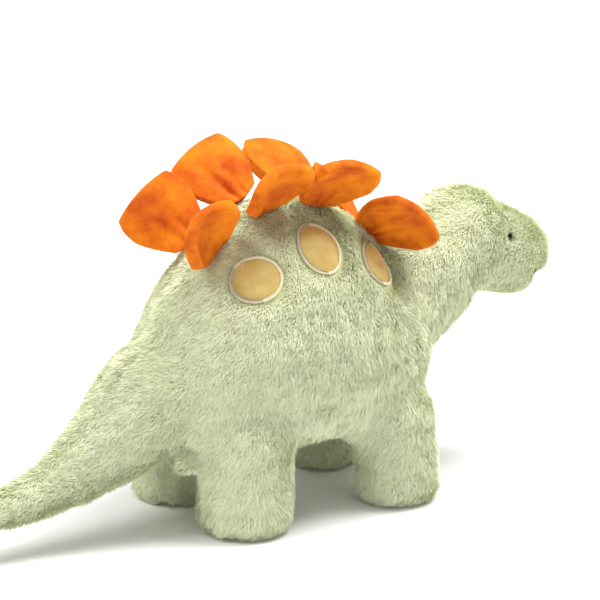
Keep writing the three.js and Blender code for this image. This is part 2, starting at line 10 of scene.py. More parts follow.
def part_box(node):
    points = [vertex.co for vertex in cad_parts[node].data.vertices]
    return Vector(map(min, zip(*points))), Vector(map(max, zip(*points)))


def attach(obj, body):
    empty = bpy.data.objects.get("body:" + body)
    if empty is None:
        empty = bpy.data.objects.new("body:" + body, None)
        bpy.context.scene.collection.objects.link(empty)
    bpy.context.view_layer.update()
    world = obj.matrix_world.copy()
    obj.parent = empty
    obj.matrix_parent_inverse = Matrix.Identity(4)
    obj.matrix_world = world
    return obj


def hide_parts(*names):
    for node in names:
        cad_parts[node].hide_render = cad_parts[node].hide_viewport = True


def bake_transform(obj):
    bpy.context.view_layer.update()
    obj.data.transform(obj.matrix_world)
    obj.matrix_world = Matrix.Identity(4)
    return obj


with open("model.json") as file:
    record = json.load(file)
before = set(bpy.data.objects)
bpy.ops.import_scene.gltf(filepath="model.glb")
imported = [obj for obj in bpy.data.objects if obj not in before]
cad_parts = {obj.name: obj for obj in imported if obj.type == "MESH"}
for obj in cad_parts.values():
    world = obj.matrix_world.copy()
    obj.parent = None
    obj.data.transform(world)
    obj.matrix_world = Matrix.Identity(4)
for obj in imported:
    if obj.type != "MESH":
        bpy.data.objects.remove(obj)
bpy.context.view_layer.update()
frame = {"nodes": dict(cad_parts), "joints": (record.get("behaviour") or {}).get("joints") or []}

MM = 0.001
nodes = frame["nodes"]
joints = {joint["name"]: joint for joint in frame["joints"]}


def pivot(name):
    return Vector(joints[name]["pos_m"])


LEGS = ["front_left", "front_right", "hind_left", "hind_right"]
hips = {leg: pivot(f"leg_{leg}_swing") for leg in LEGS}
rump = pivot("tail_root_swing")
tail_bend = pivot("tail_end_swing")
neck_seat = pivot("neck_nod")
head_seat = pivot("head_turn")
stance = sum(hips.values(), Vector()) / len(hips)  # the middle of the four hips
stance.z = 0

# Where each limb's fur skin is cut from the next, and the distances past each cut that BENDS lists,
# measured from pivots; the skin is not bent here.
LEG_CUT = -8 * MM
LEG_BEND = 28 * MM
TAIL_CUT = 3 * MM
TAIL_BEND = 38 * MM
TAIL_END_CUT = -16 * MM
TAIL_END_BEND = 30 * MM
NECK_CUT = 10 * MM
NECK_BEND = 30 * MM
HEAD_CUT = -24 * MM
HEAD_BEND = 32 * MM

SKIN_VOXEL = 2.6 * MM
FILLET = 10 * MM  # how far the stuffing rounds out the inner corners where limbs join
BODY_PILE = 7 * MM
HEAD_PILE = 5.5 * MM
BLADE_WIDTH = 0.46 * MM
BLADES_PER_SQUARE_MM = 3.0
FLOOR_GAP = 0.3 * MM  # keeps soles and pile just off the floor


# ---- Small tools ---------------------------------------------------------------------------
def linked(name, mesh):
    piece = bpy.data.objects.new(name, mesh)
    bpy.context.scene.collection.objects.link(piece)
    return piece


def mesh_of(bm, name):
    mesh = bpy.data.meshes.new(name)
    bm.to_mesh(mesh)
    bm.free()
    return mesh


def finished(piece):
    """Applies every modifier on a piece."""
    bpy.context.view_layer.update()
    graph = bpy.context.evaluated_depsgraph_get()
    mesh = bpy.data.meshes.new_from_object(piece.evaluated_get(graph))
    piece.modifiers.clear()
    old = piece.data
    piece.data = mesh
    bpy.data.meshes.remove(old)
    return piece


def modified(piece, kind, **settings):
    modifier = piece.modifiers.new(kind.title(), kind)
    for key, value in settings.items():
        setattr(modifier, key, value)
    return finished(piece)


def smooth_shaded(piece):
    piece.data.polygons.foreach_set("use_smooth", [True] * len(piece.data.polygons))


def srgb(red, green, blue):
    """A colour from its 0 to 255 screen values, as the linear values that shaders take."""
    def linear(value):
        share = value / 255
        return share / 12.92 if share <= 0.04045 else ((share + 0.055) / 1.055) ** 2.4
    return (linear(red), linear(green), linear(blue), 1)


# ---- Materials -----------------------------------------------------------------------------
def new_material(name, colour, roughness, **constants):
    material = bpy.data.materials.new(name)
    material.use_nodes = True
    shader = material.node_tree.nodes["Principled BSDF"]
    shader.inputs["Base Color"].default_value = colour
    shader.inputs["Roughness"].default_value = roughness
    for key, value in constants.items():
        shader.inputs[key.replace("_", " ")].default_value = value
    return material


def pile_shade(name, colour):
    material = new_material(name, colour, 0.85)
    shader = material.node_tree.nodes["Principled BSDF"]
    shader.inputs["Sheen Weight"].default_value = 0.25
    shader.inputs["Sheen Roughness"].default_value = 0.4
    shader.inputs["Sheen Tint"].default_value = (1, 1, 0.9, 1)
    shader.inputs["Specular IOR Level"].default_value = 0.2
    return material


def add_node(tree, kind, inputs=None, **settings):
    """A shader or geometry node with its settings, its inputs wired or set."""
    node = tree.nodes.new(kind)
    for key, value in settings.items():
        setattr(node, key, value)
    for key, value in (inputs or {}).items():
        socket = node.inputs[key]
        if isinstance(value, bpy.types.NodeSocket):
            tree.links.new(value, socket)
        else:
            socket.default_value = value
    return node


def mottled_cloth(name, dark, light, scale, roughness, bump, sheen=0.0):
    """Cloth with soft uneven colour and a fine thread bump, on object coordinates."""
    material = new_material(name, light, roughness)
    tree = material.node_tree
    shader = tree.nodes["Principled BSDF"]
    shader.inputs["Specular IOR Level"].default_value = 0.25
    shader.inputs["Sheen Weight"].default_value = sheen
    shader.inputs["Sheen Tint"].default_value = light
    shader.inputs["Sheen Roughness"].default_value = 0.35
    place = add_node(tree, "ShaderNodeTexCoord")
    patches = add_node(
        tree,
        "ShaderNodeTexNoise",
        {"Vector": place.outputs["Object"], "Scale": scale, "Detail": 5, "Roughness": 0.6},
    )
    ramp = add_node(tree, "ShaderNodeValToRGB", {"Fac": patches.outputs["Fac"]})
    ramp.color_ramp.elements[0].position = 0.32
    ramp.color_ramp.elements[0].color = dark
    ramp.color_ramp.elements[1].position = 0.68
    ramp.color_ramp.elements[1].color = light
    tree.links.new(ramp.outputs["Color"], shader.inputs["Base Color"])
    threads = add_node(
        tree,
        "ShaderNodeTexNoise",
        {"Vector": place.outputs["Object"], "Scale": scale * 22, "Detail": 3},
    )
    raised = add_node(
        tree,
        "ShaderNodeBump",
        {"Height": threads.outputs["Fac"], "Strength": bump, "Distance": 0.3 * MM},
    )
    tree.links.new(raised.outputs["Normal"], shader.inputs["Normal"])
    return material


# The root and tip colour of each shade of sage pile: the darker root is painted shade deep in the pile, the
# paler tip is painted light on the tips.
SAGE_PILE_SHADED_ROOT_LIT_TIP = {
    "pale": (srgb(222, 228, 184), srgb(243, 246, 218)),
    "mid": (srgb(216, 223, 176), srgb(238, 242, 209)),
    "deep": (srgb(208, 216, 166), srgb(232, 237, 200)),
}
PILE_SHADES = [
    (pile_shade(f"sage pile shaded root {shade}", root), pile_shade(f"sage pile lit tip {shade}", tip))
    for shade, (root, tip) in SAGE_PILE_SHADED_ROOT_LIT_TIP.items()
]
BACKING = mottled_cloth(
    "sage fur backing",
    dark=srgb(196, 204, 148),
    light=srgb(214, 221, 170),
    scale=60,
    roughness=0.95,
    bump=0.6,
)
VELVET = mottled_cloth(
    "orange velvet",
    dark=srgb(182, 70, 2),
    light=srgb(236, 132, 8),
    scale=48,
    roughness=0.85,
    bump=0.8,
    sheen=0.5,
)
VELOUR = mottled_cloth(
    "gold velour",
    dark=srgb(196, 168, 96),
    light=srgb(214, 188, 118),
    scale=90,
    roughness=0.8,
    bump=0.5,
    sheen=0.4,
)
SATIN = mottled_cloth(
    "cream satin thread",
    dark=srgb(246, 234, 196),
    light=srgb(253, 246, 218),
    scale=300,
    roughness=0.5,
    bump=0.8,
)
DARK_THREAD = mottled_cloth(
    "olive embroidery thread",
    dark=srgb(104, 106, 66),
    light=srgb(128, 130, 84),
    scale=300,
    roughness=0.6,
    bump=0.8,
)
EYE_BLACK = mottled_cloth(
    "black eye plastic",
    dark=srgb(10, 9, 8),
    light=srgb(20, 18, 15),
    scale=400,
    roughness=0.1,
    bump=0.02,
)


# ---- The fur skin --------------------------------------------------------------------------
SKIN_NODES = [
    name
    for name in nodes
    if name.endswith(("_cover", "_stuffing"))
    or name.startswith(("body_", "back_strip", "belly_panel", "leg_", "sole_"))
]


def whole_skin():
    """One closed skin round all the sewn covers, with the inner corners filled out."""
    bm = bmesh.new()
    for name in SKIN_NODES:
        bm.from_mesh(nodes[name].data)
    bmesh.ops.remove_doubles(bm, verts=bm.verts, dist=0.001 * MM)
    skin = linked("skin", mesh_of(bm, "skin"))
    modified(skin, "REMESH", mode="VOXEL", voxel_size=SKIN_VOXEL)
    modified(skin, "DISPLACE", strength=FILLET, mid_level=0)
    modified(skin, "REMESH", mode="VOXEL", voxel_size=SKIN_VOXEL * 1.3)
    modified(skin, "SMOOTH", factor=0.5, iterations=6)
    modified(skin, "DISPLACE", strength=-FILLET, mid_level=0)
    modified(skin, "REMESH", mode="VOXEL", voxel_size=SKIN_VOXEL)
    modified(skin, "SMOOTH", factor=0.5, iterations=8)
    smooth_shaded(skin)
    return skin


def flattened_feet(skin):
    """Presses the soles flat on the floor."""
    for vertex in skin.data.vertices:
        vertex.co.z = max(vertex.co.z, FLOOR_GAP)


def cut_from(skin, name, planes):
    """A copy of the skin that keeps only what lies ahead of every plane (point, direction)."""
    bm = bmesh.new()
    bm.from_mesh(skin.data)
    for point, direction in planes:
        bmesh.ops.bisect_plane(
            bm,
            geom=bm.verts[:] + bm.edges[:] + bm.faces[:],
            dist=0.0001 * MM,
            plane_co=point,
            plane_no=direction,
            clear_inner=True,
        )
    piece = linked(name, mesh_of(bm, name))
    smooth_shaded(piece)
    return piece


# ---- The pile ------------------------------------------------------------------------------
def blade(name, lean, shades):
    """One tuft of pile a unit high: a narrow kite that bends over along X at its widest."""
    bm = bmesh.new()
    bmesh.ops.create_circle(bm, cap_ends=True, cap_tris=False, radius=0.5, segments=4)
    root, right, tip, left = sorted(bm.verts, key=lambda v: round(math.atan2(-v.co.y, -v.co.x), 3))
    root.co = (0, 0, 0)
    right.co = (0.22 * lean, -0.5, 0.42)
    left.co = (0.22 * lean, 0.5, 0.42)
    tip.co = (lean, 0, 1 - 0.25 * lean)
    bmesh.ops.connect_verts(bm, verts=[left, right])
    for face in bm.faces:
        # The root half takes the darker root colour as painted shade, the tip half the paler tip colour as
        # painted light.
        face.material_index = 0 if root in face.verts else 1
    mesh = mesh_of(bm, name)
    for shade in shades:
        mesh.materials.append(shade)
    piece = linked(name, mesh)
    piece.hide_render = True
    return piece


BARE_MARGIN = 1.3 * MM  # the strip left bare round a spot or stitch
SOLE_FACING = -0.6  # skin whose normal points lower than this, and that lies low, is a sole
SOLE_HEIGHT = 3 * MM
PARTING_REACH = 9 * MM  # how far from the centre seam the pile is parted
PARTING_STRENGTH = 1.3
FLOOR_LIFT = 0.9  # how strongly the pile turns up where it would meet the floor


def pile_tree(blades, bare, comb, length, density):
    """Geometry nodes that grow combed pile on a skin, shorter and thinner near bare pieces."""
    tree = bpy.data.node_groups.new("pile", "GeometryNodeTree")
    tree.interface.new_socket("Skin", in_out="INPUT", socket_type="NodeSocketGeometry")
    tree.interface.new_socket("Pile", in_out="OUTPUT", socket_type="NodeSocketGeometry")
    entry = add_node(tree, "NodeGroupInput")
    leave = add_node(tree, "NodeGroupOutput")
    place = add_node(tree, "GeometryNodeInputPosition").outputs[0]
    normal = add_node(tree, "GeometryNodeInputNormal").outputs[0]

    def math_node(operation, a, b=0.0, c=0.0):
        inputs = {0: a, 1: b, 2: c}
        return add_node(tree, "ShaderNodeMath", inputs, operation=operation).outputs[0]

    def vector_math(operation, a, b=(0, 0, 0)):
        node = add_node(tree, "ShaderNodeVectorMath", {0: a, 1: b}, operation=operation)
        return node.outputs["Value"] if operation in ("DOT_PRODUCT", "LENGTH") else node.outputs[0]

    def scaled(vector, factor):
        node = add_node(tree, "ShaderNodeVectorMath", {0: vector, "Scale": factor}, operation="SCALE")
        return node.outputs[0]

    def ramp(value, low, high, to_low, to_high):
        node = add_node(
            tree,
            "ShaderNodeMapRange",
            {0: value, 1: low, 2: high, 3: to_low, 4: to_high},
            interpolation_type="SMOOTHSTEP",
        )
        return node.outputs[0]

    def chance_between(low, high, seed):
        inputs = {2: low, 3: high, "Seed": seed}
        return add_node(tree, "FunctionNodeRandomValue", inputs, data_type="FLOAT").outputs[1]

    def wander(scale, strength):
        noise = add_node(tree, "ShaderNodeTexNoise", {"Vector": place, "Scale": scale, "Detail": 2})
        centred = vector_math("SUBTRACT", noise.outputs["Color"], (0.5, 0.5, 0.5))
        return scaled(centred, strength)

    bare_info = add_node(
        tree,
        "GeometryNodeObjectInfo",
        {"Object": bare},
        transform_space="ORIGINAL",
    )
    near = add_node(
        tree,
        "GeometryNodeProximity",
        {0: bare_info.outputs["Geometry"]},
        target_element="FACES",
    )
    distance = near.outputs["Distance"]
    parts = add_node(tree, "ShaderNodeSeparateXYZ", {0: place})
    facing = add_node(tree, "ShaderNodeSeparateXYZ", {0: normal})
    faces_down = math_node("LESS_THAN", facing.outputs["Z"], SOLE_FACING)
    lies_low = math_node("LESS_THAN", parts.outputs["Z"], SOLE_HEIGHT)
    sole = math_node("MULTIPLY", faces_down, lies_low)
    clear = math_node("GREATER_THAN", distance, BARE_MARGIN)
    grows = math_node("MULTIPLY", clear, math_node("SUBTRACT", 1.0, sole))
    spread = add_node(
        tree,
        "GeometryNodeDistributePointsOnFaces",
        {"Mesh": entry.outputs[0], "Density": density / MM**2, "Seed": 7, "Selection": grows},
    )
    upright = spread.outputs["Normal"]

    # The pile lies along the comb direction within the skin, with swirls and small tufts.
    from_seam = math_node("MULTIPLY", parts.outputs["Y"], 1 / PARTING_REACH)
    square = math_node("MULTIPLY", from_seam, from_seam)
    fade = math_node("POWER", 2.718, math_node("MULTIPLY", square, -1.0))
    part = math_node("MULTIPLY", math_node("MULTIPLY", from_seam, fade), PARTING_STRENGTH)
    aside = add_node(tree, "ShaderNodeCombineXYZ", {"Y": part}).outputs[0]
    near_floor = ramp(parts.outputs["Z"], 2 * MM, 20 * MM, 1.0, 0.0)
    lift = math_node("MULTIPLY", near_floor, FLOOR_LIFT)
    lifted = add_node(tree, "ShaderNodeCombineXYZ", {"Z": lift}).outputs[0]
    flow = vector_math("ADD", comb, wander(38, 2.2))
    flow = vector_math("ADD", flow, wander(150, 0.9))
    flow = vector_math("ADD", flow, aside)
    flow = vector_math("ADD", flow, lifted)
    out_part = scaled(upright, vector_math("DOT_PRODUCT", flow, upright))
    along = vector_math("NORMALIZE", vector_math("SUBTRACT", flow, out_part))
    lean = chance_between(0.15, 0.75, 3)
    rise = vector_math("NORMALIZE", vector_math("ADD", upright, scaled(along, lean)))
    turn = add_node(
        tree,
        "FunctionNodeAxesToRotation",
        {"Primary Axis": rise, "Secondary Axis": along},
        primary_axis="Z",
        secondary_axis="X",
    ).outputs[0]
    roll = chance_between(-0.7, 0.7, 5)
    spin = add_node(
        tree,
        "FunctionNodeAxisAngleToRotation",
        {"Axis": (0, 0, 1), "Angle": roll},
    ).outputs[0]
    turned = add_node(
        tree,
        "FunctionNodeRotateRotation",
        {"Rotation": turn, "Rotate By": spin},
        rotation_space="LOCAL",
    ).outputs[0]
    tuft = add_node(tree, "ShaderNodeTexNoise", {"Vector": place, "Scale": 110, "Detail": 1}).outputs[0]
    trim = ramp(distance, 1 * MM, 7 * MM, 0.45, 1.0)
    chance = chance_between(0.7, 1.1, 11)
    uneven = ramp(tuft, 0.3, 0.7, 0.8, 1.12)
    tall = math_node("MULTIPLY", math_node("MULTIPLY", uneven, trim), math_node("MULTIPLY", chance, length))
    size = add_node(tree, "ShaderNodeCombineXYZ", {"X": tall, "Y": BLADE_WIDTH, "Z": tall}).outputs[0]

    grown = []
    patches = {"Vector": place, "Scale": 55, "Detail": 2}
    shade_patch = add_node(tree, "ShaderNodeTexNoise", patches).outputs[0]
    toss = chance_between(-0.28, 0.28, 23)
    family = math_node("ADD", shade_patch, toss)
    limits = [(-9.0, 0.4), (0.4, 0.58), (0.58, 9.0)]
    for form, (low, high) in zip(blades, limits):
        info = add_node(tree, "GeometryNodeObjectInfo", {"Object": form, "As Instance": True})
        above = math_node("GREATER_THAN", family, low)
        chosen = math_node("MULTIPLY", above, math_node("LESS_THAN", family, high))
        planted = add_node(
            tree,
            "GeometryNodeInstanceOnPoints",
            {
                "Points": spread.outputs["Points"],
                "Selection": chosen,
                "Instance": info.outputs["Geometry"],
                "Rotation": turned,
                "Scale": size,
            },
        )
        grown.append(planted.outputs[0])
    joined = add_node(tree, "GeometryNodeJoinGeometry")
    for geometry in grown:
        tree.links.new(geometry, joined.inputs[0])
    real = add_node(tree, "GeometryNodeRealizeInstances", {0: joined.outputs[0]})
    tree.links.new(real.outputs[0], leave.inputs[0])
    return tree


def grow_pile(skin_piece, name, blades, bare, comb, length):
    pile = linked(name, skin_piece.data.copy())
    modifier = pile.modifiers.new("Pile", "NODES")
    modifier.node_group = pile_tree(blades, bare, comb, length, BLADES_PER_SQUARE_MM)
    finished(pile)
    for vertex in pile.data.vertices:
        if vertex.co.z < FLOOR_GAP:
            vertex.co.z = FLOOR_GAP
    return pile


# ---- Velvet back plates ----------------------------------------------------------------------
PLATE_WIDE = 54 * MM
PLATE_TALL = 50 * MM
PLATE_SLAB = 8.5 * MM  # thickness of the pouch before it is filled
PLATE_SWELL = 3.5 * MM  # the most that filling moves any point of the velvet
PLATE_COLUMNS = 26
PLATE_ROWS = 26
SEAM_PINCH = 2.2 * MM  # how deep the rim seam draws in the velvet
SEWN_REACH = 0.2 * PLATE_WIDE  # velvet this near the fold line's middle is held by the seam
PLATE_ROUND = 0.5  # how far the corners are rounded off: 0 leaves them square, 1 makes a disc
# Half-width at a share of the height.
PLATE_PROFILE = [(0, 0.5), (0.25, 0.74), (0.55, 0.98), (0.8, 1.04), (1.0, 0.98)]
# How each plate lies: its step along the seam in mm, droop and sweep to the head in degrees,
# how far it cups round its height in degrees, how far its tip curls over in mm, and the places
# and depths of its folds.
PLATE_LIE = {
    "left_1": (6, -13, 8, 42, 3, [(0.28, 2.6), (-0.4, 1.4)]),
    "left_2": (1, -9, -13, 44, 4, [(-0.38, 3.4), (0.3, 3.0)]),
    "left_3": (0, 5, 3, 46, 3, [(0.1, 2.4)]),
    "left_4": (-1, 8, 4, 44, 4, [(-0.2, 2.2)]),
    "right_1": (7, -22, 6, 105, 2, [(-0.45, 1.2), (0.5, 1.6)]),
    "right_2": (4, -12, -4, 92, 3, [(0.4, 2.0), (-0.3, 1.2)]),
    "right_3": (1, -10, -5, 60, 4, [(-0.3, 3.0), (0.3, 2.8)]),
    "right_4": (0, 6, -4, 50, 4, [(-0.1, 3.2), (0.45, 2.0)]),
}


def between(rows, share):
    """The value at a share, between the two nearest rows of (share, value)."""
    for (low, first), (high, second) in zip(rows, rows[1:]):
        if share <= high:
            return first + (second - first) * (share - low) / (high - low)
    return rows[-1][1]


def plate_seat(label):
    """Where a plate is sewn on: the fold line's middle, its run, the plate's up and its top face."""
    at = pivot(f"plate_{label}_fold")
    sign = 1 if label.startswith("left") else -1
    along = (Vector(joints[f"plate_{label}_fold"]["axis"]) * -sign).normalized()
    low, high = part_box(f"plate_cover_{label}")
    rise = (low + high) / 2 - at
    up = (rise - along * rise.dot(along)).normalized()
    top = along.cross(up)
    if top.z < 0:
        top = -top
    return at, along, up, top


def plate_pouch(label):
    """Two flat layers of velvet sewn round their rim, laid in the plate's cupped shape."""
    step, droop, sweep, cup, curl, folds = PLATE_LIE[label]
    bm = bmesh.new()
    bmesh.ops.create_grid(bm, x_segments=PLATE_COLUMNS, y_segments=PLATE_ROWS, size=1)
    for vertex in bm.verts:
        across, along = vertex.co.x, vertex.co.y
        share = (along * math.sqrt(1 - PLATE_ROUND * across**2 / 2) + 1) / 2
        across *= math.sqrt(1 - PLATE_ROUND * along**2 / 2)
        vertex.co.x = across * between(PLATE_PROFILE, share) * PLATE_WIDE / 2
        vertex.co.y = share * PLATE_TALL
    flat = bmesh.ops.extrude_face_region(bm, geom=bm.faces[:])
    raised = [item for item in flat["geom"] if isinstance(item, bmesh.types.BMVert)]
    bmesh.ops.translate(bm, verts=raised, vec=(0, 0, PLATE_SLAB))
    walls = [edge for edge in bm.edges if abs(edge.verts[0].co.z - edge.verts[1].co.z) > 0]
    bmesh.ops.subdivide_edges(bm, edges=walls, cuts=1)
    bmesh.ops.recalc_face_normals(bm, faces=bm.faces)
    at, along, up, top = plate_seat(label)
    at = at + along * (step * MM)
    lower, turn = math.radians(droop), math.radians(sweep)
    rise = up * math.cos(lower) - top * math.sin(lower)
    face = top * math.cos(lower) + up * math.sin(lower)
    side = along * math.cos(turn) - rise * math.sin(turn)
    rise = rise * math.cos(turn) + along * math.sin(turn)
    radius = PLATE_WIDE / math.radians(cup)
    for vertex in bm.verts:
        x, y, z = vertex.co
        z -= PLATE_SLAB / 2
        share = y / PLATE_TALL
        for place, depth in folds:
            reach = x / (PLATE_WIDE / 2) / (0.3 + 0.7 * share) - place
            fade = max(1 - share, 0) ** 0.6 * min(1, 0.3 + share * 4)
            z -= depth * MM * math.exp(-((reach / 0.15) ** 2)) * fade
        angle = x / radius
        z -= curl * MM * share**2
        bent = (radius + z) * math.sin(angle), y, (radius + z) * math.cos(angle) - radius
        vertex.co = at + side * bent[0] + rise * bent[1] + face * bent[2]
    return mesh_of(bm, f"plate_{label}")


def rim_vertices(mesh):
    """The stitched rim: the middle row of the pouch's narrow wall."""
    rows = PLATE_COLUMNS + 1, PLATE_ROWS + 1
    return range(2 * rows[0] * rows[1], len(mesh.vertices))


def filled(piece, base, frames=16):
    """Fills a pouch by air pressure with its sewn edge held, and applies the result."""
    before = [vertex.co.copy() for vertex in piece.data.vertices]
    group = piece.vertex_groups.new(name="sewn")
    group.add(base, 1, "REPLACE")
    cloth = piece.modifiers.new("Cloth", "CLOTH")
    settings = cloth.settings
    settings.quality = 6
    settings.mass = 0.15
    settings.tension_stiffness = 8
    settings.compression_stiffness = 4
    settings.bending_stiffness = 0.02
    settings.use_pressure = True
    settings.uniform_pressure_force = 9
    settings.effector_weights.gravity = 0
    settings.vertex_group_mass = "sewn"
    cloth.point_cache.frame_start = 1
    cloth.point_cache.frame_end = frames
    for step in range(1, frames + 1):
        bpy.context.scene.frame_set(step)
    finished(piece)
    bpy.context.scene.frame_set(1)
    for vertex, start in zip(piece.data.vertices, before):
        move = vertex.co - start
        if move.length > PLATE_SWELL:
            vertex.co = start + move * (PLATE_SWELL / move.length)


def make_plate(label):
    plate = linked(f"plate_{label}", plate_pouch(label))
    at = plate_seat(label)[0]
    base = [v.index for v in plate.data.vertices if (v.co - at).length < SEWN_REACH]
    rim = set(rim_vertices(plate.data))
    filled(plate, base)
    normals = [vertex.normal.copy() for vertex in plate.data.vertices]
    for index in rim:
        plate.data.vertices[index].co -= normals[index] * SEAM_PINCH
    smooth_shaded(plate)
    subdivide = plate.modifiers.new("Subdivision", "SUBSURF")
    subdivide.levels = subdivide.render_levels = 1
    finished(plate)
    smooth_shaded(plate)
    plate.data.materials.append(VELVET)
    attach(plate, f"plate_{label}")
    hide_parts(f"plate_cover_{label}", f"plate_wadding_{label}")


# ---- Spots -----------------------------------------------------------------------------------
STITCH_PITCH = 0.95 * MM
STITCH_LENGTH = 2.1 * MM  # across the border
STITCH_THICKNESS = 1.1 * MM
BORDER_INSET = 2.2 * MM  # from the outside of the edging to the velour's edge


def spot_seat(name, surface):
    """A spot's middle, its two half sizes with their directions, and its outward direction."""
    points = [vertex.co for vertex in nodes[name].data.vertices]
    middle = sum(points, Vector()) / len(points)
    place, outwards, _, _ = surface.find_nearest(middle)
    along = Vector((1, 0, 0))
    along = (along - outwards * along.dot(outwards)).normalized()
    up = outwards.cross(along)
    half_along = max(abs((point - middle).dot(along)) for point in points)
    half_up = max(abs((point - middle).dot(up)) for point in points)
    return place, (along, half_along), (up, half_up), outwards


def on_skin(surface, point, outwards, lift):
    hit, normal, _, _ = surface.ray_cast(point + outwards * 20 * MM, -outwards)
    if hit is None:
        hit, normal, _, _ = surface.find_nearest(point)
    return hit + normal * lift, normal


def make_spot(number, side, surface):
    name = f"spot_edging_{side}_{number}"
    middle, (along, half_along), (up, half_up), outwards = spot_seat(name, surface)
    bm = bmesh.new()
    bmesh.ops.create_circle(bm, cap_ends=True, cap_tris=True, radius=1, segments=64)
    for _ in range(2):
        spokes = [edge for edge in bm.edges if not edge.is_boundary]
        bmesh.ops.subdivide_edges(bm, edges=spokes, cuts=2, use_grid_fill=True)
    for vertex in bm.verts:
        share = min(1.0, vertex.co.length)
        flat = middle + along * (vertex.co.x * (half_along - BORDER_INSET))
        flat += up * (vertex.co.y * (half_up - BORDER_INSET))
        dome = (1.9 * (1 - share**3) + 0.2) * MM - 1.1 * MM * math.exp(-((share / 0.22) ** 2))
        vertex.co = on_skin(surface, flat, outwards, dome)[0]
    bmesh.ops.recalc_face_normals(bm, faces=bm.faces)
    patch = linked(f"spot_velour_{side}_{number}", mesh_of(bm, "spot"))
    if patch.data.polygons[0].normal.dot(outwards) < 0:
        patch.data.flip_normals()
    smooth_shaded(patch)
    patch.data.materials.append(VELOUR)
    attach(patch, "body")
    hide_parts(f"spot_{side}_{number}")

    bm = bmesh.new()
    mixed = math.sqrt((3 * half_along + half_up) * (half_along + 3 * half_up))
    around = math.pi * (3 * (half_along + half_up) - mixed)
    count = round(around / STITCH_PITCH)
    for i in range(count):
        angle = 2 * math.pi * i / count
        flat = middle + along * (math.cos(angle) * (half_along - BORDER_INSET))
        flat += up * (math.sin(angle) * (half_up - BORDER_INSET))
        place, normal = on_skin(surface, flat, outwards, 0.9 * MM)
        radial = along * (math.cos(angle) * half_up) + up * (math.sin(angle) * half_along)
        radial.normalize()
        radial = (radial - normal * radial.dot(normal)).normalized()
        tangent = normal.cross(radial)
        stitch = bmesh.ops.create_cube(bm, size=1)["verts"]
        for vertex in stitch:
            x, y, z = vertex.co
            vertex.co = place + radial * (x * STITCH_LENGTH)
            vertex.co += tangent * (y * STITCH_PITCH * 0.98) + normal * (z * STITCH_THICKNESS)
        ends = [edge for face in {f for v in stitch for f in v.link_faces} for edge in face.edges]
        bmesh.ops.bevel(
            bm,
            geom=list(set(ends)),
            offset=0.3 * MM,
            affect="EDGES",
            segments=1,
            profile=0.5,
            material=-1,
        )
    border = linked(f"spot_border_{side}_{number}", mesh_of(bm, "border"))
    smooth_shaded(border)
    border.data.materials.append(SATIN)
    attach(border, "body")
    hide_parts(name)


# ---- Face and sculpted dents -------------------------------------------------------------------
def pressed(skin, dents):
    """Presses soft dents into the skin, or raises it: (middle, depth, reach) for each."""
    for vertex in skin.data.vertices:
        move = 0
        for middle, depth, reach in dents:
            gap = (vertex.co - middle).length_squared
            if gap < (3 * reach) ** 2:
                move -= depth * math.exp(-gap / reach**2)
        if move:
            vertex.co += vertex.normal * move


def face_dents():
    dents = []
    for side, sign in (("left", 1), ("right", -1)):
        low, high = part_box(f"eye_{side}")
        eye = (low + high) / 2
        dents.append((eye, 3.5 * MM, 7 * MM))
        dents.append((eye + Vector((-9 * MM, 0, -9 * MM)), 1.8 * MM, 9 * MM))
        low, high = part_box(f"nostril_{side}")
        dents.append(((low + high) / 2, 2.0 * MM, 3.5 * MM))
    brow = head_seat + Vector((28, 0, 28)) * MM
    for aside in range(-24, 25, 8):
        dents.append((brow + Vector((0, aside, -0.012 * aside**2)) * MM, 3.4 * MM, 7.5 * MM))
    mouth = nodes["mouth_stitch"].data.vertices
    for vertex in list(mouth)[::12]:
        dents.append((vertex.co.copy(), 0.5 * MM, 4 * MM))
    return dents


# ---- Camera, light and floor -----------------------------------------------------------------
VIEW_AZIMUTH = math.radians(-33.7)
VIEW_ELEVATION = math.radians(18)
VIEW_DISTANCE = 4.0
VIEW_WIDTH = 0.4  # metres across the picture at the toy
SENSOR = 36


def make_camera():
    back = Vector(
        (
            math.sin(VIEW_AZIMUTH) * math.cos(VIEW_ELEVATION),
            -math.cos(VIEW_AZIMUTH) * math.cos(VIEW_ELEVATION),
            math.sin(VIEW_ELEVATION),
        )
    )
    aim = stance + Vector((29.5, 27, 123.5)) * MM
    data = bpy.data.cameras.new("camera")
    data.sensor_width = SENSOR
    data.lens = SENSOR * VIEW_DISTANCE / VIEW_WIDTH
    camera = linked("camera", data)
    camera.location = aim + back * VIEW_DISTANCE
    camera.rotation_mode = "QUATERNION"
    camera.rotation_quaternion = (-back).to_track_quat("-Z", "Y")
    bpy.context.scene.camera = camera


def area_light(name, place, target, size, power):
    data = bpy.data.lights.new(name, "AREA")
    data.shape = "DISK"
    data.size = size
    data.energy = power
    light = linked(name, data)
    light.location = place
    light.rotation_mode = "QUATERNION"
    light.rotation_quaternion = (Vector(target) - Vector(place)).to_track_quat("-Z", "Y")


def make_studio():
    world = bpy.data.worlds.new("studio")
    bpy.context.scene.world = world
    world.use_nodes = True
    world.node_tree.nodes["Background"].inputs["Color"].default_value = (1, 1, 1, 1)
    world.node_tree.nodes["Background"].inputs["Strength"].default_value = 0.6
    middle = (0.03, 0, 0.12)
    area_light("back softbox", (0.75, -0.15, 1.75), middle, 1.0, 41)
    area_light("tail softbox", (-1.0, 0.3, 1.5), middle, 1.0, 17)
    bm = bmesh.new()
    bmesh.ops.create_grid(bm, x_segments=1, y_segments=1, size=6)
    floor = linked("floor", mesh_of(bm, "floor"))
    floor.data.materials.append(new_material("white paper floor", (0.93, 0.93, 0.92, 1), 0.9))
    bpy.context.scene.view_settings.view_transform = "Standard"


make_camera()
make_studio()

# ---- Build the skin and its pieces -------------------------------------------------------------
skin = whole_skin()
pressed(skin, face_dents())
flattened_feet(skin)
surface = BVHTree.FromPolygons(
    [vertex.co for vertex in skin.data.vertices],
    [polygon.vertices for polygon in skin.data.polygons],
)

